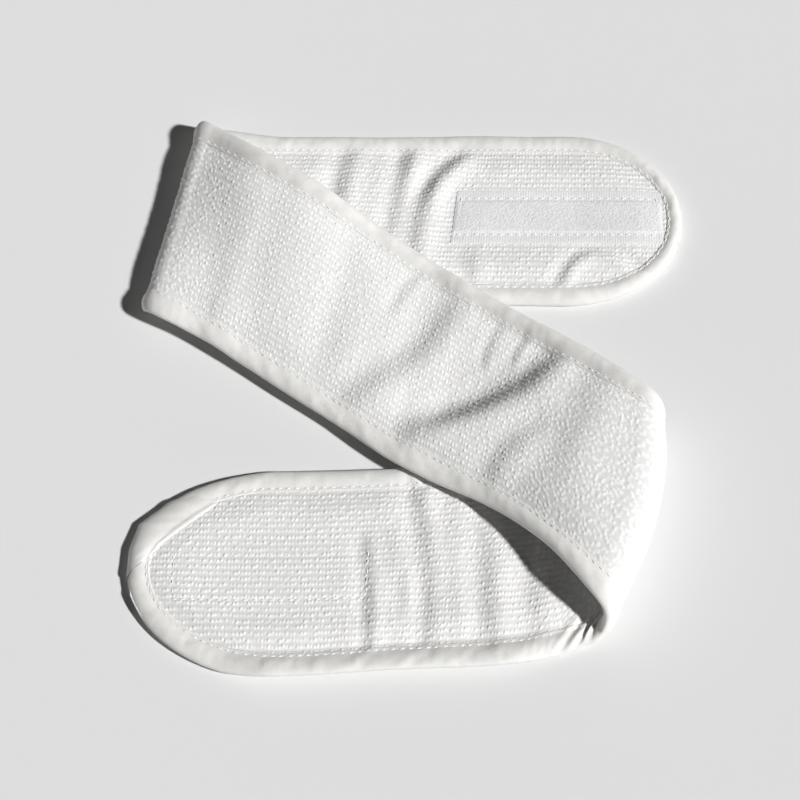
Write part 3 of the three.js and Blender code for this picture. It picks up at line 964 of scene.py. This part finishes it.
def build_tape(name, body, material):
    """A tape and its seam, whose stitches show on both faces of the band."""
    face = TAPES[name]
    cloth = tape(name, face, material)
    attach(cloth, body, name, name)
    on_tape, on_back = TERRY_HALF + TAPE_GROUND, TERRY_HALF - BACK_STITCH_SUNK
    for side, suffix, height in ((face, "x", on_tape), (-face, "y", on_back)):
        row = stitches(f"{name}_seam_{suffix}", *seam_path(name), height, side, thread_material, 59)
        attach(row, body, "thread", *([f"{name}_stitches"] if suffix == "x" else []))


build_terry()
for section in SECTION_ORDER:
    for suffix, path in edge_paths(section).items():
        build_edging(section, suffix, path)
build_lap()
build_tape("loop_tape", "upper_arm", loop_material)
build_tape("hook_tape", "lower_arm", hook_material)

# ---- Floor, light and camera ----------------------------------------------------------------------

CAMERA_ELEVATION = 64
CAMERA_DISTANCE = 0.95
CAMERA_LENS = 109
AIM = Vector((-0.00494, -0.00808, 0.008))
SUN_ELEVATION = 41.5
SUN_AZIMUTH = -26
SUN_STRENGTH = 4.43
SUN_WIDTH = 4.5
FILL = 0.008
FLOOR_RADIUS = 6.0
FLOOR_FLAT = 0.6  # the share of its radius that is level
FLOOR_RISE = 1.6
FLOOR_GREY = 0.738


def stage_floor():
    """A pale floor that curves up far away, so that no horizon shows."""
    rings = np.concatenate([[1e-6], np.linspace(0.05, 0.5, 10), np.linspace(FLOOR_FLAT, 1, 16)])
    angle = np.linspace(0, 2 * np.pi, 97)
    radius, angle = np.meshgrid(rings * FLOOR_RADIUS, angle, indexing="ij")
    level = FLOOR_FLAT * FLOOR_RADIUS
    rise = FLOOR_RISE * smooth((radius - level) / (FLOOR_RADIUS - level))
    points = np.stack([radius * np.cos(angle), radius * np.sin(angle), rise], axis=-1)
    index = np.arange(points.shape[0] * points.shape[1]).reshape(points.shape[:2])
    material = new_material("floor_paper", (FLOOR_GREY,) * 3, 1.0, 0.0, 0.0, 1 * MM, 0.0)
    new_object("floor", points.reshape(-1, 3), grid_quads(index), material)


def toward(azimuth, elevation):
    """The unit vector that points this way, in degrees from +X and above the floor."""
    around, up = math.radians(azimuth), math.radians(elevation)
    return Vector((math.cos(around) * math.cos(up), math.sin(around) * math.cos(up), math.sin(up)))


def place(obj, back):
    """Turns a light or camera to look the opposite way to back."""
    obj.rotation_mode = "QUATERNION"
    obj.rotation_quaternion = back.to_track_quat("Z", "Y")
    bpy.context.scene.collection.objects.link(obj)


def light_studio():
    """A low sun with a narrow soft edge, and hardly any light from elsewhere."""
    sun = bpy.data.objects.new("key", bpy.data.lights.new("key", "SUN"))
    sun.data.energy = SUN_STRENGTH
    sun.data.angle = math.radians(SUN_WIDTH)
    place(sun, toward(SUN_AZIMUTH, SUN_ELEVATION))
    world = bpy.data.worlds.new("studio")
    world.use_nodes = True
    world.node_tree.nodes["Background"].inputs["Color"].default_value = (1, 1, 1, 1)
    world.node_tree.nodes["Background"].inputs["Strength"].default_value = FILL
    bpy.context.scene.world = world
    bpy.context.scene.view_settings.view_transform = "Standard"


def place_camera():
    camera = bpy.data.objects.new("camera", bpy.data.cameras.new("camera"))
    camera.data.lens = CAMERA_LENS
    up = math.radians(CAMERA_ELEVATION)
    back = Vector((0, -math.cos(up), math.sin(up)))
    camera.location = AIM + back * CAMERA_DISTANCE
    place(camera, back)
    bpy.context.scene.camera = camera


stage_floor()
light_studio()
place_camera()
